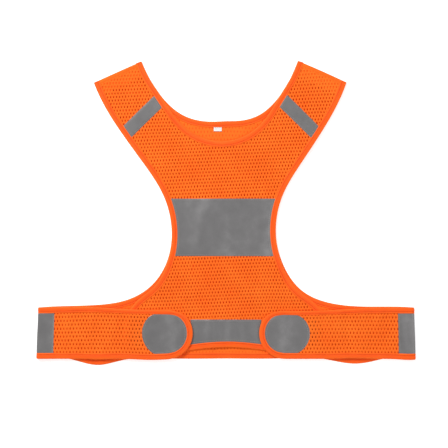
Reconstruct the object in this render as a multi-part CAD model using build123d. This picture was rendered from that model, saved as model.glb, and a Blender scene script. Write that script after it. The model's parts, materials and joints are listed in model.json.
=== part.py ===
"""High visibility vest, laid flat with both side belts folded over the front and fastened.

+X is to the right, +Y is towards the neck and +Z is up, away from the surface that the vest lies on. The origin
is under the middle of the vest, on that surface. Three layers lie on each other: the back with its side wings, the
front, and the belts, which turn over at the sides and end in round hook-and-loop tabs. Every length is in mm.
"""

from build123d import *
import os

# Driving dimensions of the cut pieces. Outline points are of the right half, before the vest's lean.
STRAP_WIDTH = 79.0  # across a shoulder strap
SHOULDER_SLOPE = 24.0  # degrees that a shoulder edge falls outwards
SHOULDER_TIP = (117.0, 227.3)  # neck end of the right shoulder edge
CHEST_HALF = 78.0  # half the width between the armholes at their narrowest
CHEST_Y = -31.5  # height of that narrowest place
LEAN = 0.0255  # how far the neck end lies to the left, for each mm above the belts
BELT_HEIGHT = 77.0
BELT_Y = -180.0  # middle line of both belts
FOLD_X = 280.8  # where a belt starts to turn over
TAB_TIP_X = 49.5  # how near a tab reaches to the middle of the vest
FRONT_HALF = 150.0  # half the width of the front at its hem
FRONT_HEM_Y = -201.0  # hem of the front, at the middle
BACK_HEM_Y = -218.0
FRONT_NECK_Y = 107.5  # lowest point of the front neckline
BACK_NECK_Y = 136.5
LOBE = (193.5, -227.2)  # lowest point of a wing's hem, which bulges out below the belt

# Materials as sewn.
FABRIC = 0.8  # mesh fabric
TAPE_WALL = 0.5  # binding tape, which wraps both sides of an edge
BINDING_WIDTH = 9.0
REFLECTIVE = 0.4
LOOP = 1.2  # loop pad
HOOK = 1.0  # hook pad
LABEL = 0.4
CLEAR = 0.3  # between pieces that move past each other

# Reflective pieces and fasteners.
CHEST_TOP, CHEST_BOTTOM = 21.5, -64.5
SHOULDER_TAPE_WIDTH = 20.5
SHOULDER_TAPE_CENTRE = (117.3, 143.8)
SHOULDER_TAPE_TURN = -44.5  # degrees, on the right strap
HEM_STRIP_TOP = -160.3
HEM_STRIP_HALF = 53.0
SIDE_STRIP_WIDTH = 22.0  # on each face of a belt, beside its fold
PATCH_RADIUS = 33.0
PATCH_X = 92.0
HOOK_RADIUS = 20.0
LOOP_PAD = (82.0, 40.0)
LOOP_PAD_AT = (98.0, -177.0)
LABEL_SIZE = (12.0, 5.6)
LABEL_X = -12.4
LABEL_GAP = 0.5  # from the neck binding, so that the label can turn up
SEAM_WIDTH = 10.0  # shoulder seam allowance, folded inside
TAB_HINGE_X = 130.0  # line that a tab peels from

# Heights of the layers.
BACK_Z = TAPE_WALL  # underside of the back's fabric
FRONT_Z = BACK_Z + FABRIC + 2 * TAPE_WALL + CLEAR
BELT_Z = FRONT_Z + FABRIC + LOOP + CLEAR + HOOK
FOLD_Z = (BACK_Z + BELT_Z + FABRIC) / 2  # axis that a belt turns about
FOLD_RADIUS = (BELT_Z - BACK_Z) / 2  # to the middle of the fabric

BELT_TOP = BELT_Y + BELT_HEIGHT / 2
BELT_BOTTOM = BELT_Y - BELT_HEIGHT / 2
TAB_CENTRE_X = TAB_TIP_X + BELT_HEIGHT / 2
STRIP_STEPS = 48  # points that a line beside an edge goes through
LARGE = 2000.0  # side of a block that cuts a whole half away


def leaned(points):
    """The points moved as the vest lies, with its neck end a little to the left."""
    return [(x - LEAN * (y - BELT_TOP), y) for x, y in points]


def on_side(points, side):
    """Points of the right half on the side +1 (right) or -1 (left), leaned."""
    return leaned([(side * x, y) for x, y in points])


def across(points):
    """A right half's points that start on the middle line, with their mirror images, from left to right."""
    left = [(-x, y) for x, y in reversed(points[1:])]
    return leaned(left + list(points))


def slab(face, low, high):
    """A plate with that outline between two heights."""
    return Pos(0, 0, low) * extrude(face, amount=high - low)


def flipped(shape, side):
    """A shape of the right side, on the side +1 (right) or -1 (left)."""
    return shape if side > 0 else mirror(shape, about=Plane.YZ)


# Edges of the cut pieces, from the shoulder down, or from left to right.


def shoulder_end():
    edge = Vector(STRAP_WIDTH, 0).rotate(Axis.Z, -SHOULDER_SLOPE)
    return (SHOULDER_TIP[0] + edge.X, SHOULDER_TIP[1] + edge.Y)


def neck_edge(points):
    return Spline(*across([*points, (89, 176), (104, 199), SHOULDER_TIP]))


def front_neck_edge():
    return neck_edge([(0, FRONT_NECK_Y), (39, 118), (65, 141)])


def back_neck_edge():
    return neck_edge([(0, BACK_NECK_Y), (33, 139.5), (62, 151)])


def upper_armhole():
    """From the shoulder to the narrowest place, which the front and the back share."""
    return [shoulder_end(), (156, 130.5), (119.5, 76.5), (87.8, 22.5), (CHEST_HALF, CHEST_Y)]


def front_side_edge(side):
    """Down the armhole and the side, as far as the round corner of the hem."""
    armhole = [*upper_armhole(), (86.5, -76.5), (108, -111.5), (134, -133), (FRONT_HALF, -157)]
    corner = (FRONT_HALF, -205)
    return Spline(*on_side([*armhole, corner], side))


def front_hem_edge():
    centre = [(0, FRONT_HEM_Y), (49.5, FRONT_HEM_Y - 4), (100, -214), (138, -216), (147, -212.5), (FRONT_HALF, -205)]
    return Spline(*across(centre))


def back_side_edge(side):
    """Down the armhole and along the top of the wing, as far as the fold."""
    armhole = [*upper_armhole(), (88, -76.5), (112.5, -110.5), (150, -132)]
    wing = [(200, BELT_TOP + 1.5), (FOLD_X, BELT_TOP)]
    return Spline(*on_side(armhole, side), *[(side * x, y) for x, y in wing])


def back_hem_edge():
    end = (FOLD_X, BELT_BOTTOM)
    right = [(0, BACK_HEM_Y), (75, BACK_HEM_Y - 0.2), (150, BACK_HEM_Y - 1.5), LOBE, (232, -219.5), end]
    left = [(-x, y) for x, y in reversed(right[1:])]
    return Spline(*left, *right)


def shoulder_edge(side):
    return Line(*on_side([SHOULDER_TIP, shoulder_end()], side))


# Finished outlines, out to the edge of the binding.


def front_face():
    edges = front_neck_edge() + front_hem_edge()
    for side in (-1, 1):
        edges += shoulder_edge(side)
        edges += front_side_edge(side)
    return make_face(edges)


def back_face():
    """The back with its side wings, as far as the belts' folds."""
    edges = back_neck_edge() + back_hem_edge()
    for side in (-1, 1):
        edges += shoulder_edge(side)
        edges += back_side_edge(side)
        edges += Line((side * FOLD_X, BELT_TOP), (side * FOLD_X, BELT_BOTTOM))
    return make_face(edges)


def belt_face(inset=0.0):
    """The right belt and its tab together as far as the fold, or what is left inside a rim of that width."""
    top, bottom = BELT_TOP - inset, BELT_BOTTOM + inset
    end = FOLD_X - CLEAR
    edges = Line((end, top), (TAB_CENTRE_X, top))
    edges += ThreePointArc((TAB_CENTRE_X, top), (TAB_TIP_X + inset, BELT_Y), (TAB_CENTRE_X, bottom))
    edges += Line((TAB_CENTRE_X, bottom), (end, bottom))
    return make_face(edges + Line((end, bottom), (end, top)))


# Sewing.


def strip(edge, width, face):
    """The part of a face that lies along one of its edges, with that width."""
    for turn in (-90, 90):
        steps = [step / STRIP_STEPS for step in range(STRIP_STEPS + 1)]
        inner = Spline(*[edge @ t + (edge % t).rotate(Axis.Z, turn) * width for t in steps])
        outline = make_face(edge + inner + Line(edge @ 0, inner @ 0) + Line(edge @ 1, inner @ 1))
        kept = outline & face
        if kept and kept.area > outline.area / 2:
            return kept


def fabric(face, low, *edges):
    """Mesh of a finished outline. It ends one tape wall inside each bound edge, where the tape closes round it."""
    for edge in edges:
        face -= strip(edge, TAPE_WALL, face)
    return slab(face, low, low + FABRIC)


def channel(face, panel, low):
    """Binding tape folded over the edge of a panel, which it holds."""
    return slab(face, low - TAPE_WALL, low + FABRIC + TAPE_WALL) - panel


def patch(face, low, *bindings):
    """A reflective piece sewn on the mesh, as far as the bindings."""
    plate = slab(face, low, low + REFLECTIVE)
    for tape in bindings:
        plate -= tape
    return plate


def rectangle(x, y, width, height, turn=0.0):
    return Pos(x, y) * Rot(0, 0, turn) * Rectangle(width, height)


def side_name(name, side):
    return name + ("_right" if side > 0 else "_left")


# Sub-parts. Each returns its nodes by name.


def bound_panel(name, low, face, edges):
    """A panel and the binding of each of its bound edges."""
    panel = fabric(face, low, *edges.values())
    bindings = {name + "_" + key: channel(strip(edge, BINDING_WIDTH, face), panel, low) for key, edge in edges.items()}
    return {name + "_panel": panel, **bindings}


def back_parts():
    edges = {side_name("side_binding", side): back_side_edge(side) for side in (-1, 1)}
    edges.update(neck_binding=back_neck_edge(), hem_binding=back_hem_edge())
    parts = bound_panel("back", BACK_Z, back_face(), edges)
    broad = chest_band() & back_face()
    sides = [parts[side_name("back_side_binding", side)] for side in (-1, 1)]
    parts["back_reflector"] = patch(broad, BACK_Z - REFLECTIVE, *sides)
    return parts


def chest_band():
    return rectangle(0, (CHEST_TOP + CHEST_BOTTOM) / 2, 2 * FRONT_HALF, CHEST_TOP - CHEST_BOTTOM)


def front_parts():
    face = front_face()
    edges = {side_name("side_binding", side): front_side_edge(side) for side in (-1, 1)}
    edges.update(neck_binding=front_neck_edge(), hem_binding=front_hem_edge())
    parts = bound_panel("front", FRONT_Z, face, edges)
    bindings = [tape for name, tape in parts.items() if "binding" in name]
    top = FRONT_Z + FABRIC
    hem = rectangle(0, HEM_STRIP_TOP - STRAP_WIDTH / 2, 2 * HEM_STRIP_HALF, STRAP_WIDTH)
    parts["chest_reflector"] = patch(chest_band() & face, top, *bindings)
    parts["hem_reflector"] = patch(hem & face, top, *bindings)
    for side in (-1, 1):
        (x, y), = on_side([SHOULDER_TAPE_CENTRE], side)
        tape = rectangle(x, y, 2 * STRAP_WIDTH, SHOULDER_TAPE_WIDTH, side * SHOULDER_TAPE_TURN)
        pad = rectangle(side * LOOP_PAD_AT[0], LOOP_PAD_AT[1], *LOOP_PAD)
        parts[side_name("shoulder_reflector", side)] = patch(tape & face, top, *bindings)
        parts[side_name("loop_pad", side)] = slab(pad, top, top + LOOP) - bindings
    return parts


def shoulder_seam(side, bindings):
    """Seam allowance between the back and the front, along a shoulder edge."""
    return slab(strip(shoulder_edge(side), SEAM_WIDTH, front_face()), BACK_Z + FABRIC, FRONT_Z) - bindings


def fold_tube(y_low, y_high, inner, outer):
    """The right belt's turn-over between two heights: half a tube about the axis that the belt turns about."""
    ring = Circle(outer) - Circle(inner)
    half = ring & Pos(outer, 0) * Rectangle(2 * outer, 2 * outer)
    tube = extrude(half, amount=y_high - y_low)
    return Pos(FOLD_X, y_high, FOLD_Z) * Rot(90, 0, 0) * tube


def fold_parts(side):
    inner, outer = FOLD_RADIUS - FABRIC / 2, FOLD_RADIUS + FABRIC / 2
    cloth = fold_tube(BELT_BOTTOM + TAPE_WALL, BELT_TOP - TAPE_WALL, inner, outer)
    hems = {"top": (BELT_TOP - BINDING_WIDTH, BELT_TOP), "bottom": (BELT_BOTTOM, BELT_BOTTOM + BINDING_WIDTH)}
    parts = {side_name("fold_panel", side): flipped(cloth, side)}
    for name, (low, high) in hems.items():
        tape = fold_tube(low, high, inner - TAPE_WALL, outer + TAPE_WALL) - cloth
        parts[side_name("fold_" + name + "_binding", side)] = flipped(tape, side)
    low, high = hems["bottom"][1], hems["top"][0]
    strip = fold_tube(low, high, outer, outer + REFLECTIVE)
    parts[side_name("fold_reflector", side)] = flipped(strip, side)
    return parts


def side_strip(end):
    """Outline of the reflective strip on one face of the right belt, between the bindings, from the fold inwards."""
    height = BELT_HEIGHT - 2 * BINDING_WIDTH
    return rectangle(end - SIDE_STRIP_WIDTH / 2, BELT_Y, SIDE_STRIP_WIDTH, height)


def belt_parts(side):
    cloth = slab(belt_face(TAPE_WALL), BELT_Z, BELT_Z + FABRIC)
    tape = channel(belt_face() - belt_face(BINDING_WIDTH), cloth, BELT_Z)
    top = BELT_Z + FABRIC
    middle = Pos(TAB_HINGE_X - LARGE / 2, 0, 0) * Box(LARGE - CLEAR, LARGE, LARGE)
    beyond = Pos(TAB_HINGE_X + LARGE / 2, 0, 0) * Box(LARGE - CLEAR, LARGE, LARGE)
    upper = Pos(0, BELT_Y + LARGE / 2, 0) * Box(LARGE, LARGE, LARGE)
    lower = Pos(0, BELT_Y - LARGE / 2, 0) * Box(LARGE, LARGE, LARGE)
    round_patch = Pos(PATCH_X, BELT_Y) * Circle(PATCH_RADIUS)
    parts = {
        "belt_panel": cloth & beyond,
        "belt_top_binding": tape & beyond & upper,
        "belt_bottom_binding": tape & beyond & lower,
        "belt_reflector": slab(side_strip(FOLD_X - CLEAR), top, top + REFLECTIVE),
        "tab_panel": cloth & middle,
        "tab_binding": tape & middle,
        "tab_reflector": patch(round_patch, top, tape),
        "hook_pad": slab(Pos(PATCH_X, BELT_Y) * Circle(HOOK_RADIUS), BELT_Z - HOOK, BELT_Z),
    }
    return {side_name(name, side): flipped(shape, side) for name, shape in parts.items()}


def size_label():
    """A small label on the back panel, hanging from the neck binding by its top edge."""
    width, height = LABEL_SIZE
    top = BACK_NECK_Y - BINDING_WIDTH - LABEL_GAP
    low = BACK_Z + FABRIC + CLEAR
    return slab(rectangle(LABEL_X, top - height / 2, width, height), low, low + LABEL)


def vest():
    parts = {**back_parts(), **front_parts(), "size_label": size_label()}
    bindings = [tape for name, tape in parts.items() if "binding" in name]
    for side in (-1, 1):
        parts[side_name("shoulder_seam", side)] = shoulder_seam(side, bindings)
        low = slab(side_strip(FOLD_X), BACK_Z - REFLECTIVE, BACK_Z)
        parts[side_name("wing_reflector", side)] = flipped(low, side) - bindings
        parts.update(fold_parts(side))
        parts.update(belt_parts(side))
    return parts


os.makedirs("parts", exist_ok=True)
for node, shape in vest().items():
    export_step(shape, "parts/" + node + ".step")
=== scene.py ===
"""High visibility vest lying flat: mesh cloth with real holes, bound edges and reflective patches.

Every soft piece is made in flat cloth coordinates (u, v, n): u and v run along the cloth in metres and n
stands off its middle. lay_back and lay_front put them in the frame: the back's cloth runs out to each side,
round the fold and on as the belt, and the front lies on the back.
"""

import json
import math
import bpy
import numpy as np
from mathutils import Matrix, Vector

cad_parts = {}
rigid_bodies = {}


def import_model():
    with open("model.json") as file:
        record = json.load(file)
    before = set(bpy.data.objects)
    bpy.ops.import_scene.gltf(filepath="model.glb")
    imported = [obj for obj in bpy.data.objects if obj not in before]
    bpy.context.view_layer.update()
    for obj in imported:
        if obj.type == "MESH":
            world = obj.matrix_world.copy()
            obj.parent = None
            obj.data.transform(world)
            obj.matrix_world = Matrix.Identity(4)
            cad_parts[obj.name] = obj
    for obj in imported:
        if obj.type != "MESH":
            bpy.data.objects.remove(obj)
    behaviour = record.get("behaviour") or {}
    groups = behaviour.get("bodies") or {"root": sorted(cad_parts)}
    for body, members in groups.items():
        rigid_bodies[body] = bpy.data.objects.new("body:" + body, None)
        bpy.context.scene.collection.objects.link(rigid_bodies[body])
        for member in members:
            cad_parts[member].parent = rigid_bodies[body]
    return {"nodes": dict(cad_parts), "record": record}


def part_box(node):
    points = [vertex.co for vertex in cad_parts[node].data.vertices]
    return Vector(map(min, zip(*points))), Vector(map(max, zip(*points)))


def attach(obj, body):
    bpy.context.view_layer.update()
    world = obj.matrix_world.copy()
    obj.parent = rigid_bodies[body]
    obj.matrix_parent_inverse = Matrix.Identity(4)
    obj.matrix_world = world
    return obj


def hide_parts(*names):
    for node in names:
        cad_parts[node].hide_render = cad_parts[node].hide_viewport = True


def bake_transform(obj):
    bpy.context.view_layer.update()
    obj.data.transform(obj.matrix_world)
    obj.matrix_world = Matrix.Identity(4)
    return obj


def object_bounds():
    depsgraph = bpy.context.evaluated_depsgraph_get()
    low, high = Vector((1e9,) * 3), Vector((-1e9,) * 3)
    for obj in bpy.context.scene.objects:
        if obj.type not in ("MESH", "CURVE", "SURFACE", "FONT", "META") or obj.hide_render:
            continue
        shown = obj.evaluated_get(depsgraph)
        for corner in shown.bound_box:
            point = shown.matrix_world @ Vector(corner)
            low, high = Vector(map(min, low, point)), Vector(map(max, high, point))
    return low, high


# Blender's default objects aren't part of the scene.
for thing in list(bpy.data.objects):
    bpy.data.objects.remove(thing)
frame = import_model()
cad_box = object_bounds()

MM = 0.001
SIDES = {"left": -1, "right": 1}

# Places read from the frame.
joints = {joint["name"]: joint for joint in frame["record"]["behaviour"]["joints"]}
FOLD_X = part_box("fold_panel_right")[0][0]
FOLD_Z = joints["belt_right_open"]["pos_m"][2]
TAB_LINE = joints["tab_right_peel"]["pos_m"][0]
BACK_Z = (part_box("back_panel")[0][2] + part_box("back_panel")[1][2]) / 2
FRONT_Z = (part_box("front_panel")[0][2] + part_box("front_panel")[1][2]) / 2
FOLD_R = FOLD_Z - BACK_Z
TURN = math.pi * FOLD_R  # length of cloth in a fold
BELT_LOW, BELT_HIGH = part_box("tab_binding_right")[0][1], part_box("tab_binding_right")[1][1]
BELT_MID = (BELT_LOW + BELT_HIGH) / 2
TAB_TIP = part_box("tab_binding_right")[0][0]
TAB_R = (BELT_HIGH - BELT_LOW) / 2

# Places along the back's cloth, on the right side.
FOLD_MARGIN = 10.0 * MM  # how far a fold's piece reaches onto the wing and the belt
WING_END, FOLD_END = FOLD_X - FOLD_MARGIN, FOLD_X + TURN + FOLD_MARGIN
WING_X, WING_TOP = 150.0 * MM, -110.0 * MM  # outside and below these the back's cloth is a wing

# Cloth.
FINE_NET = (4.5 * MM, 5.15 * MM)  # hole pitch and row pitch of the front
COARSE_NET = (4.95 * MM, 5.8 * MM)  # the same of the back, wings, folds, belts and tabs
FRONT_GRAIN = math.radians(2.4)  # how far the front's rows are turned
NET_INSET = 3.0 * MM  # holes with their middles nearer to an outline than this are left out
BLEND_REACH = (1.0 * MM, -6.0 * MM)  # a tab bends from this far behind its line to this far in front
BELT_DRAW = 3.6 * MM  # how far a belt's upper edge is drawn in towards its tab
DRAW_START, DRAW_LENGTH = 240.0 * MM, 100.0 * MM  # where that starts, and the length that it grows over

# Tape and seams. Heights are from the cloth's middle.
TAPE_WIDTH = 9.0 * MM
TAPE_INSET = 0.5 * MM  # a bound panel ends this far inside the tape's outer edge
TAPE_WALL = 0.9 * MM
PATH_STEP = 2.0 * MM
EDGE_STEP = 1.0 * MM  # for edges that are divided where a fold starts
JOIN = 0.5 * MM  # how far the tapes of a wing and a fold reach past each other
DRAW_DEPTH = 1.7 * TAPE_WIDTH  # how far from a belt's upper edge the cloth is drawn in with it
STITCH_AT = 0.69  # share of the tape's width, in the groove of TAPE_SHAPE
STITCH_N = 0.52 * MM  # height of the binding's stitches, in that groove
STITCH_PITCH, STITCH_LENGTH, STITCH_R = 3.0 * MM, 2.3 * MM, 0.22 * MM
SEAM_FOLD = 8.0 * MM  # width of the folded shoulder seam
SEAM_MIDDLE = (BACK_Z - FRONT_Z) / 2
SEAM_WALL = 0.55 * MM - SEAM_MIDDLE
SEAM_ALLOWANCE = 22.0 * MM

# Patches.
PATCH_LOW, PATCH_HIGH = 0.36 * MM, 0.72 * MM  # a patch's faces, from the cloth's middle
PATCH_BEVEL = 0.22 * MM
PATCH_SEAM = 1.8 * MM  # how far a patch's stitches lie inside its edge
UNDER_TAPE = 0.6 * MM  # how far a patch reaches under the binding beside it
STRIP_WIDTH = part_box("wing_reflector_right")[1][0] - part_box("wing_reflector_right")[0][0]
STRIP_START, STRIP_END = FOLD_X - STRIP_WIDTH, FOLD_X + TURN + STRIP_WIDTH
STRIP_LOW, STRIP_HIGH = BELT_LOW + TAPE_WIDTH, BELT_HIGH - TAPE_WIDTH
SHOULDER_TURN = -44.5  # degrees that the right shoulder's reflective tape is turned
ALLOWANCE_N = (0.55 * MM, 0.95 * MM)  # the seam allowance's faces, under the front's middle
LOOP_HIGH, HOOK_HIGH = 1.5 * MM, 1.35 * MM  # the pads' outer faces, from the cloth's middle
FOLD_STEP = 0.6 * MM  # a fold's strip has closer rows, to bend smoothly

# Size label.
LABEL_SHARE = 0.8  # share of the flap's length that its slope leaves in view
LABEL_SEWN = 2.2 * MM  # length of its end that is sewn down
LABEL_GAP = 0.6 * MM  # the flap starts this far below its hinge
LABEL_UNDER = 1.4 * MM  # how far the sewn end goes on under the flap
LABEL_CURL, LABEL_CURL_LENGTH = 1.1 * MM, 5.0 * MM
LABEL_FLAP_N, LABEL_SEWN_N = (0.66 * MM, 0.88 * MM), (0.44 * MM, 0.60 * MM)
LABEL_STEP = 0.5 * MM

# How outlines are read.
FACES_UP = 0.9  # a face whose normal rises more than this faces up
TOP_MARGIN = 0.02 * MM
SMOOTHINGS = 6
MIDDLE_HALF = 50.0 * MM  # a stretch with its middle nearer to the vest's than this is a neck or a hem
SHOULDERS_FROM = 200.0 * MM  # height above which a stretch is a shoulder

# Ripples and soft folds. A wave is (height, radians for each metre along x, along y, phase).
FADE = 30.0 * MM  # length over which a rise dies away
SEWN_REACH = (10.0 * MM, 60.0 * MM)  # ripples start between these below the shoulders
PRESSED_X, PRESSED_Y = (30.0 * MM, 55.0 * MM), (115.0 * MM, 140.0 * MM)  # where the belts start to press
BACK_RIPPLE, BACK_LIFT = 0.18 * MM, 3.0
BACK_WAVES = [(1.0, 31, 0, 1.3), (1.0, 19, 47, 0.4), (1.0, -12, 73, 2.1)]
FRONT_RIPPLE, FRONT_LIFT = 0.22 * MM, 2.6
FRONT_WAVES = [(1.0, 52, -9, 2.0), (1.0, 41, 27, 0.0), (0.6, 96, 22, 1.0)]
CHEST_FOLD, CHEST_FOLD_HIGH = (-30.0 * MM, 0.2, 13.0 * MM), 2.0 * MM  # (middle, slant, width)
CHEST_FOLD_Y, CHEST_FOLD_HALF, CHEST_FOLD_FADE = -20.0 * MM, 60.0 * MM, 40.0 * MM
HEM_FOLDS = [(-22.0 * MM, -0.05), (-4.0 * MM, 0.1), (19.0 * MM, -0.1)]  # (middle, slant)
HEM_FOLD_TOP, HEM_FOLD_HIGH, HEM_FOLD_WIDTH = -120.0 * MM, 0.9 * MM, 6.0 * MM
BELT_WAVES = [(1.0, 190, 1.0, 1), (0.7, 121, -1.6, 2), (0.4, 333, 1.0, 0)]  # (height, along x, bend, phase)
BELT_BEND, BELT_SWAY, BELT_SWAYS = 5.0, 0.8, 60.0  # how a belt's puckers lean and sway across it
BELT_PHASES = {"left": 2.7, "right": 0.9}
BELT_RIPPLE, BELT_SINK = 0.75 * MM, 2.1
BELT_STILL = 0.45  # share of a belt's puckers that its bindings take away
BELT_FREE_FOLD, BELT_FREE_TAB = (2.0 * MM, 30.0 * MM), (118.0 * MM, 165.0 * MM)

# How the laid vest is pulled a little out of true: (x, y, reach, shift in x, shift in y), in millimetres.
PULLS = [
    (0, -50, 90, -0.9, 0.0), (116, -116, 42, -1.6, -2.6), (-190, -140, 55, 0.0, 1.9),
    (-150, 160, 60, -1.1, 0.0), (135, 205, 50, 0.3, 1.3), (-55, 152, 32, -0.7, -1.2),
    (46, 150, 28, 0.3, -1.2), (0, 138, 18, 0.0, 1.2), (-288, -140, 48, 2.8, 0.0),
    (288, -140, 48, -2.2, 0.0), (-190, -228, 25, 0.0, -1.0), (190, -228, 25, 0.0, 1.2),
    (275, -222, 20, 0.0, -1.6), (-112, -218, 28, 0.0, -1.5),
]


# Cloth coordinates to the frame.


def ease(value, low, high):
    """0 up to low, 1 from high on, and smooth between them."""
    t = np.clip((value - low) / (high - low), 0, 1)
    return t * t * (3 - 2 * t)


def looseness(x, y):
    """Ripples die away towards the sewn shoulders and under the belts, which hold the cloth flat."""
    pressed = ease(np.abs(x), *PRESSED_X) * ease(-y, *PRESSED_Y)
    return ease(cad_box[1][1] - y, *SEWN_REACH) * (1 - pressed)


def ripple(x, y, waves):
    """The sum of the waves at a place."""
    return sum(height * np.sin(kx * x + ky * y + phase) for height, kx, ky, phase in waves)


def ridge(x, y, middle, slant, width):
    """Height of a soft fold that runs up the cloth, from 0 to 1."""
    return np.exp(-(((x - middle - slant * y) / width) ** 2))


def back_rise(x, y):
    """How far the back's cloth stands off the floor, where it ripples."""
    lift = BACK_RIPPLE * (BACK_LIFT + ripple(x, y, BACK_WAVES))
    return lift * ease(FOLD_X - np.abs(x), 0, FADE) * looseness(x, y)


def front_rise(x, y):
    """The front ripples on top of the back, with soft folds at the chest and above the hem."""
    rise = FRONT_RIPPLE * (FRONT_LIFT + ripple(x, y, FRONT_WAVES)) * looseness(x, y)
    chest = ease(CHEST_FOLD_HALF - np.abs(y - CHEST_FOLD_Y), 0, CHEST_FOLD_FADE)
    rise += CHEST_FOLD_HIGH * ridge(x, y, *CHEST_FOLD) * chest
    for middle, slant in HEM_FOLDS:
        crest = ridge(x, y, middle - slant * BELT_MID, slant, HEM_FOLD_WIDTH)
        rise += HEM_FOLD_HIGH * crest * ease(HEM_FOLD_TOP - y, 0, FADE)
    return back_rise(x, y) + rise


def belt_rise(x, y):
    """A belt puckers across its length and sinks between its fold and its tab."""
    across = y - BELT_MID
    phase = np.where(x > 0, BELT_PHASES["right"], BELT_PHASES["left"])
    bend = BELT_BEND * across + BELT_SWAY * np.sin(BELT_SWAYS * across + phase)
    wave = sum(high * np.sin(kx * x + lean * bend + times * phase) for high, kx, lean, times in BELT_WAVES)
    free = ease(FOLD_X - np.abs(x), *BELT_FREE_FOLD) * ease(np.abs(x), *BELT_FREE_TAB)
    edge = 1 - BELT_STILL * ease(np.abs(across), 0.5 * TAB_R, TAB_R)
    return BELT_RIPPLE * (wave - BELT_SINK) * free * edge


def settle(x, y):
    """Where a place ends up once the vest has been laid down by hand."""
    dx, dy = np.zeros(np.shape(x)), np.zeros(np.shape(x))
    for cx, cy, reach, px, py in PULLS:
        share = np.exp(-((x / MM - cx) ** 2 + (y / MM - cy) ** 2) / reach**2)
        dx += px * MM * share
        dy += py * MM * share
    return x + dx, y + dy


def lay_front(u, v, n):
    x, y = settle(u, v)
    return np.stack([x, y, FRONT_Z + front_rise(u, v) + n], axis=-1)


def lay_back(u, v, n):
    """n is positive on the inner face, which is up on the back and down on a belt."""
    side, a = np.sign(u), np.abs(u)
    on_belt_face = a > FOLD_X + TURN
    turn = np.clip((a - FOLD_X) / FOLD_R, 0, math.pi)
    along = np.where(a < FOLD_X, a, FOLD_X - np.maximum(a - FOLD_X - TURN, 0))
    radius = FOLD_R - n
    x = side * (along + radius * np.sin(turn))
    z = FOLD_Z - radius * np.cos(turn)
    front_under = front_rise(side * along, v) * ease(WING_X + FADE - along, 0, FADE)
    rise = np.where(a < FOLD_X, back_rise(side * along, v), 0.0)
    rise = np.where(on_belt_face, belt_rise(side * along, v) + front_under, rise)
    drawn = ease(DRAW_START - along, 0, DRAW_LENGTH) * ease(v - BELT_MID, TAB_R - DRAW_DEPTH, TAB_R)
    x, y = settle(x, np.where(on_belt_face, v - BELT_DRAW * drawn, v))
    return np.stack([x, y, z + rise], axis=-1)


def on_belt(x):
    """The cloth coordinate u of a place on a belt."""
    return np.sign(x) * (2 * FOLD_X + TURN - np.abs(x))


# Outlines from the CAD model.


def outline(node):
    """The outline of a flat CAD node's top face, anticlockwise."""
    mesh = frame["nodes"][node].data
    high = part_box(node)[1][2]
    keys = {}
    place = [keys.setdefault((round(v.co.x, 6), round(v.co.y, 6)), len(keys)) for v in mesh.vertices]
    spots = np.array(list(keys))
    edges = set()
    for polygon in mesh.polygons:
        if polygon.normal.z > FACES_UP and abs(polygon.center.z - high) < TOP_MARGIN:
            ring = [place[i] for i in polygon.vertices]
            for pair in zip(ring, ring[1:] + ring[:1]):
                if pair[::-1] in edges:
                    edges.remove(pair[::-1])
                else:
                    edges.add(pair)
    following = dict(edges)
    start = next(iter(sorted(following)))
    loop = [start]
    while following[loop[-1]] != start:
        loop.append(following[loop[-1]])
    return spots[loop]


def split_at_corners(loop, degrees=45):
    """The outline's stretches between its sharp corners, each with both its ends."""
    before, after = np.roll(loop, 1, axis=0), np.roll(loop, -1, axis=0)
    a, b = loop - before, after - loop
    turn = np.abs(np.degrees(np.arctan2(a[:, 0] * b[:, 1] - a[:, 1] * b[:, 0], (a * b).sum(axis=1))))
    corners = np.flatnonzero(turn > degrees)
    following = [*corners[1:], corners[0] + len(loop)]
    return [loop[np.arange(i, j + 1) % len(loop)] for i, j in zip(corners, following)]


def lengths_along(points):
    """How far each point of a line is from its start, along it."""
    return np.concatenate([[0], np.cumsum(np.linalg.norm(np.diff(points, axis=0), axis=1))])


def evenly(points, step=PATH_STEP):
    """Points at even steps along a line, with the CAD's short straight runs smoothed out."""
    lengths = lengths_along(points)
    count = max(int(round(lengths[-1] / step)), 4)
    at = np.linspace(0, lengths[-1], count + 1)
    even = np.stack([np.interp(at, lengths, points[:, k]) for k in (0, 1)], axis=1)
    for _ in range(SMOOTHINGS):
        even[1:-1] = (even[:-2] + 2 * even[1:-1] + even[2:]) / 4
    return even


def inward(path):
    """Unit normals to the left of a line, which is inside an anticlockwise outline."""
    along = np.gradient(path, axis=0)
    along /= np.linalg.norm(along, axis=1)[:, None]
    return np.stack([-along[:, 1], along[:, 0]], axis=1)


def inside(points, loop, margin):
    """Which points are inside an outline and at least that far from it."""
    ends = np.roll(loop, -1, axis=0)
    within = np.zeros(len(points), bool)
    near = np.full(len(points), np.inf)
    for (ax, ay), (bx, by) in zip(loop, ends):
        crosses = (ay > points[:, 1]) != (by > points[:, 1])
        if by != ay:
            within ^= crosses & (points[:, 0] < ax + (points[:, 1] - ay) * (bx - ax) / (by - ay))
        edge = np.array([bx - ax, by - ay])
        t = np.clip(((points - (ax, ay)) @ edge) / max(edge @ edge, 1e-12), 0, 1)
        near = np.minimum(near, np.linalg.norm(points - (ax, ay) - t[:, None] * edge, axis=1))
    return within & (near > margin)


# Mesh building.


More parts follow.
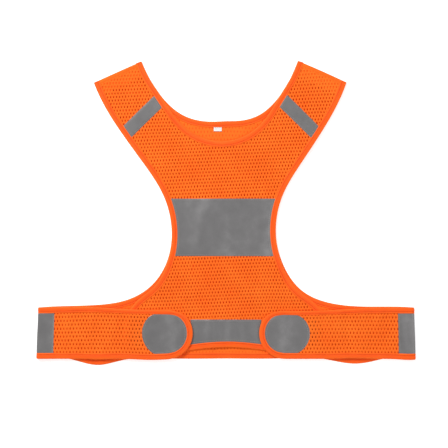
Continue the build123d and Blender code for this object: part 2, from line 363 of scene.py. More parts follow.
def build(name, points, quads, flat, material):
    """A smooth mesh of quads, with its flat cloth coordinates in metres as the UV layer flat."""
    mesh = bpy.data.meshes.new(name)
    quads = np.asarray(quads, np.int32)
    mesh.vertices.add(len(points))
    mesh.vertices.foreach_set("co", np.asarray(points, np.float32).ravel())
    mesh.loops.add(quads.size)
    mesh.loops.foreach_set("vertex_index", quads.ravel())
    mesh.polygons.add(len(quads))
    mesh.polygons.foreach_set("loop_start", np.arange(len(quads), dtype=np.int32) * 4)
    mesh.update(calc_edges=True)
    layer = mesh.uv_layers.new(name="flat")
    layer.data.foreach_set("uv", np.asarray(flat, np.float32)[quads.ravel()].ravel())
    mesh.validate()
    mesh.shade_smooth()
    mesh.materials.append(material)
    piece = bpy.data.objects.new(name, mesh)
    bpy.context.scene.collection.objects.link(piece)
    return piece


NET_CROWN = 0.40 * MM  # half thickness of the cloth between holes
NET_RIM = 0.24 * MM  # half thickness at a hole's rim
NET_WEB = 0.08 * MM  # half thickness of the web that closes a hole
NET_REACH = (0.56, 0.25)  # half size in metres of the grid of holes that a piece is cut from
HOLE = {FINE_NET: (0.19, 0.34), COARSE_NET: (0.165, 0.31)}  # a hole's half size, as shares of the pitches
HOLE_ANGLES = np.radians([0, 48, 90, 132, 180, 228, 270, 312])
HOLE_VARIES = 0.06
RING = 8  # corners of a cell and of its hole
SNAP = 0.01 * MM  # corners that are nearer than this are one
SNAP_SHIFT = 0.123  # keeps corners off the rounding's edges


def hole_middles(pitch, keep, turned):
    """The middles of a staggered grid of holes, where keep(points) is true."""
    du, dv = pitch
    rows = np.arange(-round(NET_REACH[1] / dv), round(NET_REACH[1] / dv) + 1)
    columns = np.arange(-round(NET_REACH[0] / du), round(NET_REACH[0] / du) + 1)
    row, column = np.meshgrid(rows, columns, indexing="ij")
    middles = np.stack([(column + 0.5 * (row % 2)) * du, row * dv], axis=-1).reshape(-1, 2) @ turned
    return middles[keep(middles)]


def cell_shapes(pitch, turned):
    """The corners of the hexagonal cell round a hole, with two more on its sides, and the hole's rim."""
    du, dv = pitch
    side, tip = dv / 2 - du * du / (8 * dv), dv / 2 + du * du / (8 * dv)
    right = [(du / 2, -side), (du / 2, 0), (du / 2, side)]
    left = [(-du / 2, side), (-du / 2, 0), (-du / 2, -side)]
    corners = np.array([*right[1:], (0, tip), *left, (0, -tip), right[0]])
    width, height = HOLE[pitch]
    rim = np.stack([width * du * np.cos(HOLE_ANGLES), height * dv * np.sin(HOLE_ANGLES)], axis=1)
    return corners @ turned, rim @ turned


def net(name, pitch, keep, lay, web=False, grain=0.0):
    """Knitted mesh: staggered rows of oval holes, wherever keep(points) is true of a hole's middle.

    With web, each hole is closed by a thin web of finer stitches, coloured darker as painted shade for the
    shaded cloth that shows through a hole. grain is the angle that rows turn by.
    """
    turned = np.array([[math.cos(grain), math.sin(grain)], [-math.sin(grain), math.cos(grain)]])
    centre = hole_middles(pitch, keep, turned)
    corner, hole = cell_shapes(pitch, turned)
    seed = np.random.default_rng(7)
    rim = centre[:, None] + hole * (1 + HOLE_VARIES * seed.standard_normal((len(centre), 1, 1)))
    every = (centre[:, None] + corner).reshape(-1, 2)
    spots = np.round(every / SNAP + SNAP_SHIFT).astype(int)
    _, first, index = np.unique(spots, axis=0, return_index=True, return_inverse=True)
    shared, index = every[first], index.reshape(-1, RING)
    flat = np.concatenate([shared, shared, rim.reshape(-1, 2), rim.reshape(-1, 2)])
    many, cells = len(shared), len(centre)
    rims = RING * cells
    stand = np.repeat([NET_CROWN, -NET_CROWN, NET_RIM, -NET_RIM], [many, many, rims, rims])

    # The two faces, between the cells' corners and the holes' rims.
    holes = 2 * many + np.arange(rims).reshape(-1, RING)
    following, below, under = np.roll(index, -1, axis=1), index + many, holes + rims
    quads = [
        np.stack([index, following, np.roll(holes, -1, axis=1), holes], axis=-1),
        np.stack([following + many, below, under, np.roll(under, -1, axis=1)], axis=-1),
    ]

    # Each hole's wall or web.
    if web:
        middles = len(flat) + np.arange(2 * cells)
        flat = np.concatenate([flat, centre, centre])
        stand = np.concatenate([stand, np.repeat([NET_WEB, -NET_WEB], cells)])
        for ring, middle, order in ((holes, middles[:cells], 1), (under, middles[cells:], -1)):
            for k in range(0, RING, 2):
                corners = ring.T[[k, k + 1, (k + 2) % RING]]
                quads.append(np.stack([middle, *corners], axis=-1)[:, ::order])
    else:
        around = [holes, np.roll(holes, -1, axis=1), np.roll(under, -1, axis=1), under]
        quads.append(np.stack(around, axis=-1))

    # The wall round the outside, with vertices of its own so that the faces stay smooth up to it.
    pairs = np.stack([index.ravel(), following.ravel()], axis=1)
    _, which, uses = np.unique(np.sort(pairs, axis=1), axis=0, return_index=True, return_counts=True)
    a, b = pairs[which[uses == 1]].T
    wall = np.stack([b, a, a + many, b + many], axis=1).ravel()
    quads = [q.reshape(-1, 4) for q in quads] + [len(flat) + np.arange(len(wall)).reshape(-1, 4)]
    flat, stand = np.concatenate([flat, flat[wall]]), np.concatenate([stand, stand[wall]])

    piece = build(name, lay(flat[:, 0], flat[:, 1], stand), np.concatenate(quads), flat, MESH)
    # The webs take a darker orange: painted shade in the holes.
    if web:
        piece.data.materials.append(HOLE_SHADE)
        slots = np.repeat([0, 1, 0], [2 * rims, rims, len(wall) // 4])
        piece.data.polygons.foreach_set("material_index", slots.astype(np.int32))
    size = every.max(axis=0) - every.min(axis=0)
    piece["cut"] = [float(size[0]), float(size[1]), float(cells * pitch[0] * pitch[1])]
    return piece


# Section of folded tape on one side of the cloth, from its folded edge, as shares of its width and its wall.
TAPE_SHAPE = np.array([
    (0.0, 0.0), (0.03, 0.52), (0.12, 0.86), (0.33, 1.0), (0.54, 0.97),
    (0.63, 0.88), (STITCH_AT, 0.52), (0.75, 0.86), (0.9, 0.9), (1.0, 0.45),
])
TAPE_PUCKER = 0.07  # share of the wall
PUCKER_FINE, PUCKER_SLOW = 1150, 310  # radians for each metre


def tape(name, path, normals, lay, material, width=TAPE_WIDTH, wall=TAPE_WALL, middle=0.0):
    """Binding tape folded over an edge. path is its outer edge and normals point into the cloth."""
    half = TAPE_SHAPE * (width, wall)
    section = np.concatenate([half, half[:0:-1] * (1, -1)])
    count, ring = len(path), len(section)
    along = lengths_along(path)
    pucker = 1 + TAPE_PUCKER * np.sin(along * PUCKER_FINE) * np.sin(along * PUCKER_SLOW + 1)
    uv = path[:, None] + normals[:, None] * section[None, :, :1]
    stand = middle + section[None, :, 1] * pucker[:, None]
    points = lay(uv[..., 0], uv[..., 1], stand).reshape(-1, 3)
    flat = np.stack(np.broadcast_arrays(along[:, None], section[None, :, 0]), axis=-1).reshape(-1, 2)
    i, k = np.meshgrid(np.arange(count - 1), np.arange(ring), indexing="ij")
    i, k = i.ravel(), k.ravel()
    after = (k + 1) % ring
    sides = np.stack([i * ring + k, i * ring + after, (i + 1) * ring + after, (i + 1) * ring + k], axis=1)
    top = np.arange(1, len(half) - 1)
    cap = np.stack([top, top + 1, (ring - top - 1) % ring, (ring - top) % ring], axis=1)
    quads = np.concatenate([sides, len(points) + cap[:, ::-1], len(points) + ring + cap])
    points = np.concatenate([points, points[:ring], points[-ring:]])
    flat = np.concatenate([flat, flat[:ring], flat[-ring:]])
    return build(name, points, quads, flat, material)


# One stitch: four rings of six points, closed at both ends.
STITCH_REACH = STITCH_LENGTH / 2 * np.array([-1.0, -0.75, 0.75, 1.0])
STITCH_RADII = STITCH_R * np.array([0.25, 1.0, 1.0, 0.25])
STITCH_ANGLES = np.arange(6) * math.pi / 3
STITCH_QUADS = [
    [6 * r + k, 6 * r + (k + 1) % 6, 6 * r + 6 + (k + 1) % 6, 6 * r + 6 + k]
    for r in range(3)
    for k in range(6)
]
STITCH_QUADS += [[3, 2, 1, 0], [5, 4, 3, 0], [18, 19, 20, 21], [18, 21, 22, 23]]


def stitches(name, path, normals, inset, stands, lay, material):
    """Rows of stitches beside a line, one row for each height in stands."""
    along = lengths_along(path)
    middles = np.arange(STITCH_PITCH, along[-1] - STITCH_PITCH / 2, STITCH_PITCH)
    at = middles[:, None] + STITCH_REACH
    base = np.stack([np.interp(at, along, (path + normals * inset)[:, k]) for k in (0, 1)], axis=-1)
    across = np.stack([np.interp(at, along, normals[:, k]) for k in (0, 1)], axis=-1)
    sideways = (STITCH_RADII[:, None] * np.cos(STITCH_ANGLES))[None, :, :, None]
    upward = (STITCH_RADII[:, None] * np.sin(STITCH_ANGLES))[None].repeat(len(middles), axis=0)
    uv = base[:, :, None] + across[:, :, None] * sideways
    points = [lay(uv[..., 0], uv[..., 1], stand + upward).reshape(-1, 3) for stand in stands]
    flat = [uv.reshape(-1, 2)] * len(stands)
    quads = np.array(STITCH_QUADS)[None] + 24 * np.arange(len(middles) * len(stands))[:, None, None]
    return build(name, np.concatenate(points), quads.reshape(-1, 4), np.concatenate(flat), material)


ROW_INSET = 0.02 * MM  # the first and last rows of a patch are this far inside its outline
EDGE_SHARE = 0.01  # width of a patch's bevel, as a share of its row


def patch(name, loop, lay, material, face, turn=0.0, step=PATH_STEP, low=PATCH_LOW, high=PATCH_HIGH, grow=0.0,
          bevels=(1, 1)):
    """A thin sewn patch with that outline, whose rows are turned by an angle.

    face is +1 or -1, the side of the cloth. low and high are the heights of the patch's faces. grow widens
    its rows at both ends. bevels are 0 at an end of the rows that goes on as another patch.
    """
    turned = np.array([[math.cos(turn), -math.sin(turn)], [math.sin(turn), math.cos(turn)]])
    local = loop @ turned
    ends = np.roll(local, -1, axis=0)
    bottom, top = local[:, 1].min(), local[:, 1].max()
    rows = max(int((top - bottom) / step), 3)
    heights = np.linspace(bottom + ROW_INSET, top - ROW_INSET, rows + 1)
    spans = []
    for y in heights:
        crosses = (local[:, 1] > y) != (ends[:, 1] > y)
        a, b = local[crosses], ends[crosses]
        x = a[:, 0] + (y - a[:, 1]) * (b[:, 0] - a[:, 0]) / (b[:, 1] - a[:, 1])
        spans.append((x.min() - grow, x.max() + grow))
    spans = np.array(spans)
    columns = max(int((spans[:, 1] - spans[:, 0]).max() / step), 3)
    share = np.concatenate([[0, EDGE_SHARE], np.linspace(0, 1, columns + 1)[1:-1], [1 - EDGE_SHARE, 1]])
    x = spans[:, :1] + share * (spans[:, 1:] - spans[:, :1])
    y = np.broadcast_to(heights[:, None], x.shape)
    flat = (np.stack([x, y], axis=-1) @ turned.T).reshape(-1, 2)
    edge = np.zeros(x.shape)
    edge[:, [0, -1]] = bevels
    edge[[0, -1]] = 1
    upper = face * (high - min(PATCH_BEVEL, (high - low) / 2) * edge).ravel()
    lower = np.full(len(flat), face * low)
    points = np.concatenate([lay(flat[:, 0], flat[:, 1], stand) for stand in (upper, lower)])
    flat = np.concatenate([flat, flat])
    count = len(lower)
    grid = np.arange(count).reshape(x.shape)
    cells = np.stack([grid[:-1, :-1], grid[:-1, 1:], grid[1:, 1:], grid[1:, :-1]], axis=-1).reshape(-1, 4)
    ring = np.concatenate([grid[0, :-1], grid[:-1, -1], grid[-1, :0:-1], grid[:0:-1, 0]])
    following = np.roll(ring, -1)
    wall = np.stack([ring, ring + count, following + count, following], axis=1).ravel()
    wall_quads = len(points) + np.arange(len(wall)).reshape(-1, 4)
    quads = np.concatenate([cells, cells[:, ::-1] + count, wall_quads])[:, ::face]
    points, flat = np.concatenate([points, points[wall]]), np.concatenate([flat, flat[wall]])
    return build(name, points, quads, flat, material)


# Materials.


def shader(name, **inputs):
    """A new material, its node tree and its principled shader, with constant inputs set."""
    material = bpy.data.materials.new(name)
    material.use_nodes = True
    tree = material.node_tree
    principled = tree.nodes["Principled BSDF"]
    for key, value in inputs.items():
        principled.inputs[key.replace("_", " ")].default_value = value
    return material, tree, principled


def node(tree, kind, links=(), **settings):
    """A node with its settings; links maps an input's name to another node's output."""
    made = tree.nodes.new(kind)
    for key, value in settings.items():
        if key[0].isupper():
            made.inputs[key.replace("_", " ")].default_value = value
        else:
            setattr(made, key, value)
    for key, output in dict(links).items():
        tree.links.new(output, made.inputs[key])
    return made


def flat_coordinates(tree, scale=(1, 1, 1)):
    place = node(tree, "ShaderNodeUVMap", uv_map="flat")
    return node(tree, "ShaderNodeMapping", {"Vector": place.outputs["UV"]}, Scale=scale).outputs["Vector"]


def noise(tree, vector, scale, detail=3.0, rough=0.55):
    settings = dict(Scale=scale, Detail=detail, Roughness=rough)
    return node(tree, "ShaderNodeTexNoise", {"Vector": vector}, **settings).outputs["Fac"]


def ramp(tree, fac, stops):
    """A colour ramp through stops, each (position, (red, green, blue))."""
    made = node(tree, "ShaderNodeValToRGB", {"Fac": fac})
    elements = made.color_ramp.elements
    elements[0].position, elements[0].color = stops[0][0], (*stops[0][1], 1)
    elements[1].position, elements[1].color = stops[-1][0], (*stops[-1][1], 1)
    for position, color in stops[1:-1]:
        elements.new(position).color = (*color, 1)
    return made.outputs["Color"]


def bump(tree, principled, height, strength, distance):
    made = node(tree, "ShaderNodeBump", {"Height": height}, Strength=strength, Distance=distance)
    tree.links.new(made.outputs["Normal"], principled.inputs["Normal"])


def math_node(tree, operation, a, b):
    made = node(tree, "ShaderNodeMath", operation=operation)
    for socket, value in zip(made.inputs, (a, b)):
        if isinstance(value, (int, float)):
            socket.default_value = value
        else:
            tree.links.new(value, socket)
    return made.outputs["Value"]


def weighted(tree, *parts):
    """The sum of parts, each (output, weight)."""
    products = [math_node(tree, "MULTIPLY", *part) for part in parts]
    total = products[0]
    for product in products[1:]:
        total = math_node(tree, "ADD", total, product)
    return total


def waves(tree, vector, direction, pitch, distortion):
    """Bands at a pitch in metres, as the wave texture counts them."""
    scale = 2 * math.pi / (20 * pitch)
    settings = dict(wave_type="BANDS", bands_direction=direction, Scale=scale, Distortion=distortion)
    return node(tree, "ShaderNodeTexWave", {"Vector": vector}, **settings).outputs["Fac"]


def set_color(tree, principled, color, glow=None):
    """Gives a shader its colour; one that glows also gives back that share of it as light."""
    tree.links.new(color, principled.inputs["Base Color"])
    if glow is not None:
        tree.links.new(color, principled.inputs["Emission Color"])
        principled.inputs["Emission Strength"].default_value = glow


WARP_PITCH = 1 / 1.35  # as a share of the weft's


def cloth_material(name, light, dark, yarn, glow, rough=0.78):
    """Dyed cloth: yarns in two directions, with blotchy dye. yarn is the yarns' pitch in metres."""
    material, tree, principled = shader(
        name, Roughness=rough, Specular_IOR_Level=0.15,
        Sheen_Weight=0.1, Sheen_Roughness=0.4, Sheen_Tint=(1.0, 0.4, 0.15, 1.0),
    )
    place = flat_coordinates(tree)
    weft, warp = waves(tree, place, "X", yarn, 0.6), waves(tree, place, "Y", yarn * WARP_PITCH, 0.6)
    weave = math_node(tree, "MULTIPLY", weft, warp)
    blotch, fine = noise(tree, place, 22, 4), noise(tree, place, 900, 2)
    mixed = weighted(tree, (blotch, 0.62), (fine, 0.20), (weave, 0.18))
    set_color(tree, principled, ramp(tree, mixed, [(0.25, dark), (0.68, light)]), glow)
    bump(tree, principled, weighted(tree, (weave, 1.0), (fine, 0.5)), 0.55, 0.12 * MM)
    return material


# Inputs and output of a mix node that multiplies colours.
MIX_FACTOR, MIX_A, MIX_B, MIX_RESULT = 0, 6, 7, 2


def tape_material():
    """Ribbed binding tape: fine ribs across it, which u runs along, with painted highlights on its folded
    edges and painted shade in its stitch groove.
    """
    material, tree, principled = shader(
        "binding_tape", Roughness=0.62, Specular_IOR_Level=0.2,
        Sheen_Weight=0.12, Sheen_Roughness=0.35, Sheen_Tint=(1.0, 0.35, 0.12, 1.0),
    )
    place = flat_coordinates(tree)
    ribs = waves(tree, place, "X", 0.7 * MM, 0.8)
    blotch = noise(tree, flat_coordinates(tree, (1, 6, 1)), 30, 4)
    mixed = weighted(tree, (blotch, 0.8), (ribs, 0.2))
    dye = ramp(tree, mixed, [(0.25, (0.88, 0.085, 0.005)), (0.7, (1.0, 0.13, 0.008))])
    across = node(tree, "ShaderNodeSeparateXYZ", {"Vector": place}).outputs["Y"]
    share = math_node(tree, "DIVIDE", across, TAPE_WIDTH)
    # Painted light across the tape: lighter towards both folded edges as painted highlight, darker in the
    # stitch groove as painted shade.
    edge_highlight_groove_shade = ramp(tree, share, [
        (0.0, (1, 1.35, 1.6)), (0.16, (1, 1.1, 1.1)), (0.45, (1, 0.92, 0.9)), (0.6, (0.98, 0.9, 0.85)),
        (STITCH_AT, (0.8, 0.62, 0.6)), (0.78, (1, 1.0, 1.0)), (1.0, (1, 1.2, 1.3)),
    ])
    mixer = node(tree, "ShaderNodeMix", data_type="RGBA", blend_type="MULTIPLY")
    mixer.inputs[MIX_FACTOR].default_value = 1.0
    tree.links.new(dye, mixer.inputs[MIX_A])
    tree.links.new(edge_highlight_groove_shade, mixer.inputs[MIX_B])
    set_color(tree, principled, mixer.outputs[MIX_RESULT], GLOW)
    bump(tree, principled, ribs, 0.5, 0.15 * MM)
    return material


def reflective_material():
    """Retroreflective cloth: grey glass beads on a backing, with soft bands of lighter and darker grey,
    partly random tone and partly painted sheen, and a few fine creases.
    """
    material, tree, principled = shader("reflective_cloth", Metallic=0.45, Roughness=0.42)
    place = flat_coordinates(tree)
    beads = node(tree, "ShaderNodeTexVoronoi", {"Vector": place}, Scale=2600.0).outputs["Distance"]
    # Soft bands of lighter and darker grey, stretched along v: partly random tone, partly painted sheen.
    bands = noise(tree, flat_coordinates(tree, (1, 0.22, 1)), 22, 2)
    patches = noise(tree, place, 60, 5)
    mixed = weighted(tree, (bands, 0.55), (patches, 0.3), (beads, 0.16))
    greys = [(0.3, (0.17, 0.166, 0.167)), (0.55, (0.21, 0.205, 0.206)), (0.75, (0.30, 0.293, 0.295))]
    set_color(tree, principled, ramp(tree, mixed, greys))
    rough = node(tree, "ShaderNodeMapRange", {"Value": patches}, To_Min=0.34, To_Max=0.56)
    tree.links.new(rough.outputs["Result"], principled.inputs["Roughness"])
    crease = noise(tree, flat_coordinates(tree, (1, 0.4, 1)), 260, 3, 0.7)
    bump(tree, principled, weighted(tree, (beads, 0.5), (crease, 1.0)), 0.35, 0.12 * MM)
    return material


def pile_material(name, color, scale, distance):
    """Hook-and-loop face: tangled fibre or close rows."""
    material, tree, principled = shader(name, Roughness=0.85, Sheen_Weight=0.5)
    fuzz = noise(tree, flat_coordinates(tree), scale, 5, 0.7)
    shade = [channel * 0.6 for channel in color]
    set_color(tree, principled, ramp(tree, fuzz, [(0.3, shade), (0.65, color)]))
    bump(tree, principled, fuzz, 0.9, distance)
    return material


def floor_material():
    """Evenly lit white card, with a slight cloudiness."""
    material, tree, principled = shader("pale_floor", Roughness=0.9)
    place = node(tree, "ShaderNodeTexCoord").outputs["Object"]
    greys = [(0.3, (0.90, 0.90, 0.90)), (0.7, (0.94, 0.94, 0.94))]
    set_color(tree, principled, ramp(tree, noise(tree, place, 3, 3), greys), 0.55)
    return material


GLOW = 0.08  # the orange cloth glows with this share of its own colour whatever light falls on it: painted light that stands in for the fluorescent dye and lifts its shade
MESH = cloth_material("mesh_cloth", (1.0, 0.185, 0.016), (0.92, 0.12, 0.008), 0.9 * MM, GLOW)
# The holes' webs: a darker orange, painted shade for the shaded cloth seen through the holes.
HOLE_SHADE = cloth_material("mesh_web", (0.86, 0.105, 0.008), (0.70, 0.07, 0.005), 0.45 * MM, GLOW)
SEAM = cloth_material("seam_cloth", (1.0, 0.17, 0.014), (0.9, 0.11, 0.007), 0.9 * MM, GLOW)
THREAD = cloth_material("orange_thread", (0.8, 0.09, 0.01), (0.6, 0.05, 0.006), 0.25 * MM, GLOW)
GREY_THREAD = cloth_material("grey_thread", (0.42, 0.40, 0.38), (0.28, 0.27, 0.26), 0.25 * MM, 0.0)
TAPE = tape_material()
REFLECTIVE = reflective_material()
LOOP = pile_material("loop_pile", (0.95, 0.16, 0.03), 1400, 0.5 * MM)
HOOK = pile_material("hook_face", (0.75, 0.12, 0.03), 700, 0.2 * MM)
LABEL = cloth_material("label_satin", (0.86, 0.86, 0.85), (0.74, 0.74, 0.73), 0.4 * MM, 0.0, 0.5)


# Assembly. A rider is a function that places a piece: it makes the piece follow its body, or bakes it where
# it lies.


def rides(body):
    return lambda piece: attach(piece, body)


def folds():
    """Cloth round a side fold is baked where it lies and follows no body."""
    return lambda piece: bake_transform(piece)


def peels():
    """A tab's cloth is baked where it lies and follows no body."""
    return lambda piece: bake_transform(piece)


def bound_edge(name, path, lay, rider, *nodes):
    """Binding along a stretch of a panel's outline, and its stitches on both faces. Returns both pieces."""
    path = evenly(path)
    normals = inward(path)
    path = path - normals * TAPE_INSET
    piece = tape(name, path, normals, lay, TAPE)
    stands = (STITCH_N, -STITCH_N)
    sewn = stitches(name + "_stitches", path, normals, STITCH_AT * TAPE_WIDTH, stands, lay, THREAD)
    for made in (piece, sewn):
        rider(made)
    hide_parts(*nodes)
    return [piece, sewn]


def reflector(name, loop, lay, rider, face, cad_node, turn=0.0, sewn_along=None, bevels=(1, 1)):
    """A reflective patch, with stitches inside its edge or along another line. Returns both pieces."""
    grow = UNDER_TAPE if sewn_along is None else 0
    piece = patch(name, loop, lay, REFLECTIVE, face, turn, grow=grow, bevels=bevels)
    path = evenly(np.concatenate([loop, loop[:1]]) if sewn_along is None else sewn_along)
    stands = [face * PATCH_HIGH]
    sewn = stitches(name + "_stitches", path, inward(path), PATCH_SEAM, stands, lay, GREY_THREAD)
    for made in (piece, sewn):
        rider(made)
    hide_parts(cad_node)
    return [piece, sewn]


def declare(cad_node):
    """Hides the CAD node of a piece of net."""
    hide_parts(cad_node)


def stretches(panel):
    """A panel's outline, and its stretches between corners by name, all anticlockwise."""
    loop, found = outline(panel), {}
    for part in split_at_corners(loop):
        if np.linalg.norm(part[-1] - part[0]) < 2 * TAPE_WIDTH:
            continue
        x, y = (part[0] + part[-1]) / 2
        side = "left" if x < 0 else "right"
        if abs(x) > FOLD_X - TAPE_WIDTH:
            found["fold_" + side] = part
        elif abs(x) > MIDDLE_HALF:
            found[("shoulder_" if y > SHOULDERS_FROM else "side_") + side] = part
        else:
            found["neck" if y > 0 else "hem"] = part
    return loop, found


def flat_on_belt(points):
    """Points on a belt as it lies, as cloth coordinates, still anticlockwise."""
    return np.stack([on_belt(points[:, 0]), points[:, 1]], axis=1)[::-1]


def on_side(points, side):
    """A line of the right side, in cloth coordinates, on the side -1 or 1, still anticlockwise."""
    points = np.asarray(points)
    return points if side > 0 else (points * (-1, 1))[::-1]


def strip(start, end, side):
    """Outline of a length of a side's reflective strip, in cloth coordinates."""
    corners = [(start, STRIP_LOW), (end, STRIP_LOW), (end, STRIP_HIGH), (start, STRIP_HIGH)]
    return on_side(corners, side)


def in_wing(p, side):
    """Which places of the back are in the wing on that side."""
    return (p[:, 0] * side > WING_X) & (p[:, 1] < WING_TOP)


torso = rides("torso")
front_loop, front = stretches("front_panel")
back_loop, back = stretches("back_panel")
back_hem = evenly(back["hem"], EDGE_STEP)


def front_panel():
    """The front's cloth, and the binding and patches on it."""

    def kept(p):
        return inside(p, front_loop, NET_INSET)

    cloth = net("cloth_front", FINE_NET, kept, lay_front, grain=FRONT_GRAIN)
    torso(cloth)
    pieces = bound_edge("binding_front_neck", front["neck"], lay_front, torso, "front_neck_binding")
    rim = np.concatenate([front["side_left"], front["hem"][1:], front["side_right"][1:]])
    rim_nodes = ["front_side_binding_left", "front_side_binding_right", "front_hem_binding"]
    pieces += bound_edge("binding_front_rim", rim, lay_front, torso, *rim_nodes)
    for name, turn in (("chest", 0.0), ("hem", math.pi / 2)):
        cad_node = name + "_reflector"
        pieces += reflector("reflector_" + name, outline(cad_node), lay_front, torso, 1, cad_node, turn)
    return cloth, pieces


def back_panel():
    """The middle of the back's cloth, with its neck and hem bound and its reflective panel."""

    def kept(p):
        return ~in_wing(p, 1) & ~in_wing(p, -1) & inside(p, back_loop, NET_INSET)

    cloth = net("cloth_back", COARSE_NET, kept, lay_back, web=True)
    torso(cloth)
    pieces = bound_edge("binding_back_neck", back["neck"], lay_back, torso, "back_neck_binding")
    hem = back_hem[np.abs(back_hem[:, 0]) < WING_END + JOIN]
    pieces += bound_edge("binding_back_hem", hem, lay_back, torso, "back_hem_binding")
    panel = outline("back_reflector")
    pieces += reflector("reflector_back", panel, lay_back, torso, -1, "back_reflector")
    return cloth, pieces


def size_label():
    """The label's free flap, its end sewn to the neck binding, and the seam there."""
    loop = outline("size_label")
    left, right, top = loop[:, 0].min(), loop[:, 0].max(), loop[:, 1].max()

    def lay_label(u, v, n):
        """The label curls up a little towards its free edge."""
        curl = LABEL_CURL * ((top - LABEL_UNDER - v) / LABEL_CURL_LENGTH).clip(0, 1) ** 2
        height = lay_back(u, v, n)[..., 2] + curl
        return np.stack([u, top - LABEL_SHARE * (top - v), height], axis=-1)

    flap_loop = np.minimum(loop, (np.inf, top - LABEL_GAP))
    low, high = LABEL_FLAP_N
    flap = patch("label_size", flap_loop, lay_label, LABEL, 1, step=LABEL_STEP, low=low, high=high)
    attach(flap, "size_label")
    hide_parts("size_label")
    sewn_top, sewn_low = top + LABEL_SEWN, top - LABEL_UNDER
    sewn_loop = np.array([(left, sewn_low), (right, sewn_low), (right, sewn_top), (left, sewn_top)])
    low, high = LABEL_SEWN_N
    sewn = patch("label_sewn_end", sewn_loop, lay_label, LABEL, 1, step=LABEL_STEP, low=low, high=high)
    line = evenly(sewn_loop[2:])
    seam = stitches("label_seam", line, inward(line), LABEL_SEWN / 2, [high], lay_label, GREY_THREAD)
    torso(sewn)
    torso(seam)
    return [flap, sewn, seam]


def shoulder(name, side):
    """Front and back sewn together, the seam allowance between them, the shoulder's tape and the loop pad."""
    edge = evenly(front["shoulder_" + name])
    normals = inward(edge)
    seam = tape("seam_shoulder_" + name, edge, normals, lay_front, SEAM, SEAM_FOLD, SEAM_WALL, SEAM_MIDDLE)
    corners = np.concatenate([edge[[1, -2]], (edge + normals * SEAM_ALLOWANCE)[[-2, 1]]])
    across, up = edge[-1] - edge[0]
    allowance = patch("seam_allowance_" + name, corners, lay_front, SEAM, -1, math.atan2(up, across),
                      low=ALLOWANCE_N[0], high=ALLOWANCE_N[1])
    cad_node = "shoulder_reflector_" + name
    loop, turn = outline(cad_node), math.radians(SHOULDER_TURN) * side
    reflective = reflector("reflector_shoulder_" + name, loop, lay_front, torso, 1, cad_node, turn)
    pad = patch("loop_pad_pile_" + name, outline("loop_pad_" + name), lay_front, LOOP, 1, high=LOOP_HIGH)
    for piece, slot in ((seam, "mesh"), (allowance, "mesh"), (pad, "loop")):
        torso(piece)
    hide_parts("shoulder_seam_" + name)
    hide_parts("loop_pad_" + name)
    return [*reflective, seam, allowance, pad]


def wing(name, side):
    """The back's side, from the middle piece to the fold."""

    def kept(p):
        return in_wing(p, side) & (p[:, 0] * side <= WING_END) & inside(p, back_loop, NET_INSET)

    cloth = net("cloth_wing_" + name, COARSE_NET, kept, lay_back, web=True)
    torso(cloth)
    upper = evenly(back["side_" + name], EDGE_STEP)
    upper = upper[np.abs(upper[:, 0]) < WING_END + JOIN]
    pieces = bound_edge("binding_back_side_" + name, upper, lay_back, torso, "back_side_binding_" + name)
    edge = on_side([(STRIP_START, STRIP_HIGH), (STRIP_START, STRIP_LOW)], side)
    area = strip(STRIP_START, WING_END, side)
    pieces += reflector("reflector_wing_" + name, area, lay_back, torso, -1, "wing_reflector_" + name,
                        sewn_along=edge, bevels=(1, 0)[::side])
    declare("back_panel")


def fold_edge(points, side):
    """The end of a panel's edge beside the fold, carried on straight round it, on the right side."""
    near = points[points[:, 0] * side > WING_END - JOIN] * (side, 1)
    near = near[np.argsort(near[:, 0])]
    reach = np.linspace(FOLD_X + EDGE_STEP, FOLD_END, 12)
    return np.concatenate([near, np.stack([reach, np.full(12, near[-1, 1])], axis=1)])


def fold(name, side):
    """The cloth that turns over at the side."""
    bends = folds()

    def kept(p):
        u, v = p[:, 0] * side, p[:, 1] - BELT_MID
        return (u > WING_END) & (u <= FOLD_END) & (np.abs(v) < TAB_R - NET_INSET)

    cloth = net("cloth_fold_" + name, COARSE_NET, kept, lay_back, web=True)
    bends(cloth)
    upper = fold_edge(evenly(back["side_" + name], EDGE_STEP), side)
    pieces = []
    for end, edge in (("top", upper[::-1]), ("bottom", fold_edge(back_hem, side))):
        cad_node = f"fold_{end}_binding_{name}"
        pieces += bound_edge(f"binding_fold_{end}_{name}", on_side(edge, side), lay_back, bends, cad_node)
    area = strip(WING_END, FOLD_END, side)
    reflective = patch("reflector_fold_" + name, area, lay_back, REFLECTIVE, -1,
                       step=FOLD_STEP, bevels=(0, 0))
    bends(reflective)
    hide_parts("fold_reflector_" + name)
    declare("fold_panel_" + name)


BELT_EDGE = TAB_R - TAPE_INSET  # from a belt's middle line to its cloth's edge
TAB_START = on_belt(TAB_LINE + BLEND_REACH[0])
TAB_MIDDLE = on_belt(TAB_TIP + TAB_R)  # centre of its round end


def belt(name, side):
    """A belt, from the fold to the tab's bend."""
    on = rides("belt_" + name)

    def kept(p):
        u, v = p[:, 0] * side, p[:, 1] - BELT_MID
        return (u > FOLD_END) & (u <= TAB_START) & (np.abs(v) < TAB_R - NET_INSET)

    cloth = net("cloth_belt_" + name, COARSE_NET, kept, lay_back)
    on(cloth)
    low, high = BELT_MID - BELT_EDGE, BELT_MID + BELT_EDGE
    edges = {"bottom": [(FOLD_END, low), (TAB_START, low)], "top": [(TAB_START, high), (FOLD_END, high)]}
    pieces = []
    for end, points in edges.items():
        edge = on_side(points, side)
        pieces += bound_edge(f"binding_belt_{end}_{name}", edge, lay_back, on, f"belt_{end}_binding_{name}")
    edge = on_side([(STRIP_END, STRIP_LOW), (STRIP_END, STRIP_HIGH)], side)
    area = strip(FOLD_END, STRIP_END, side)
    pieces += reflector("reflector_belt_" + name, area, lay_back, on, -1, "belt_reflector_" + name,
                        sewn_along=edge, bevels=(0, 1)[::side])
    declare("belt_panel_" + name)


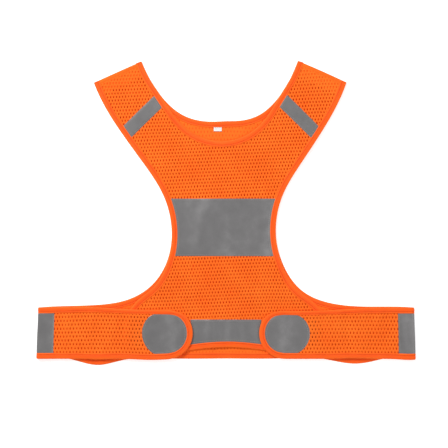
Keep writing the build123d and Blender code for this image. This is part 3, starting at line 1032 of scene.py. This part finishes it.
def tab(name, side):
    """A belt's round end, with its patch and its hook pad."""
    peel = peels()

    def kept(p):
        u, v = p[:, 0] * side, p[:, 1] - BELT_MID
        return (u > TAB_START) & (np.hypot(np.maximum(u - TAB_MIDDLE, 0), v) < TAB_R - NET_INSET)

    cloth = net("cloth_tab_" + name, COARSE_NET, kept, lay_back)
    peel(cloth)
    angle = np.linspace(-math.pi / 2, math.pi / 2, 60)
    nose = np.stack([TAB_MIDDLE + BELT_EDGE * np.cos(angle), BELT_MID + BELT_EDGE * np.sin(angle)], axis=1)
    start, end = (TAB_START, BELT_MID - BELT_EDGE), (TAB_START, BELT_MID + BELT_EDGE)
    edge = on_side(np.concatenate([[start], nose, [end]]), side)
    pieces = bound_edge("binding_tab_" + name, edge, lay_back, peel, "tab_binding_" + name)
    disc = flat_on_belt(outline("tab_reflector_" + name))
    pieces += reflector("reflector_tab_" + name, disc, lay_back, peel, -1, "tab_reflector_" + name)
    pad = flat_on_belt(outline("hook_pad_" + name))
    hooks = patch("hook_pad_face_" + name, pad, lay_back, HOOK, 1, high=HOOK_HIGH)
    peel(hooks)
    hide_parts("hook_pad_" + name)
    declare("tab_panel_" + name)


front_cloth, on_front = front_panel()
back_cloth, on_back = back_panel()
on_back += size_label()
for name, side in SIDES.items():
    on_front += shoulder(name, side)
    wing(name, side)
    fold(name, side)
    belt(name, side)
    tab(name, side)
declare("front_panel")
declare("back_panel")

# Stage, light and camera.
bpy.ops.mesh.primitive_plane_add(size=14, location=(0, 0, -0.1 * MM))
floor = bpy.context.object
floor.name = "floor"
floor.data.materials.append(floor_material())

world = bpy.data.worlds.new("studio")
bpy.context.scene.world = world
world.use_nodes = True
background = world.node_tree.nodes["Background"]
background.inputs["Color"].default_value = (1, 1, 1, 1)
background.inputs["Strength"].default_value = 0.36


def area_light(name, place, size, power):
    """A square light that faces the vest's middle."""
    data = bpy.data.lights.new(name, "AREA")
    data.size, data.energy = size, power
    light = bpy.data.objects.new(name, data)
    light.location = place
    light.rotation_euler = (-Vector(place)).to_track_quat("-Z", "Y").to_euler()
    bpy.context.scene.collection.objects.link(light)


area_light("key", (-1.1, 1.25, 1.5), 0.8, 44)
area_light("fill", (1.4, -0.6, 1.6), 1.6, 14)

VIEW_WIDTH = 0.672  # metres that the picture takes in at the vest, left to right
CAMERA_HEIGHT = 2.6
SENSOR = 36  # millimetres
camera_data = bpy.data.cameras.new("camera")
camera_data.sensor_width = SENSOR
camera_data.lens = SENSOR * CAMERA_HEIGHT / VIEW_WIDTH
camera = bpy.data.objects.new("camera", camera_data)
camera.location = (-3.0 * MM, -16.5 * MM, CAMERA_HEIGHT)
bpy.context.scene.collection.objects.link(camera)
bpy.context.scene.camera = camera
bpy.context.scene.view_settings.view_transform = "Standard"
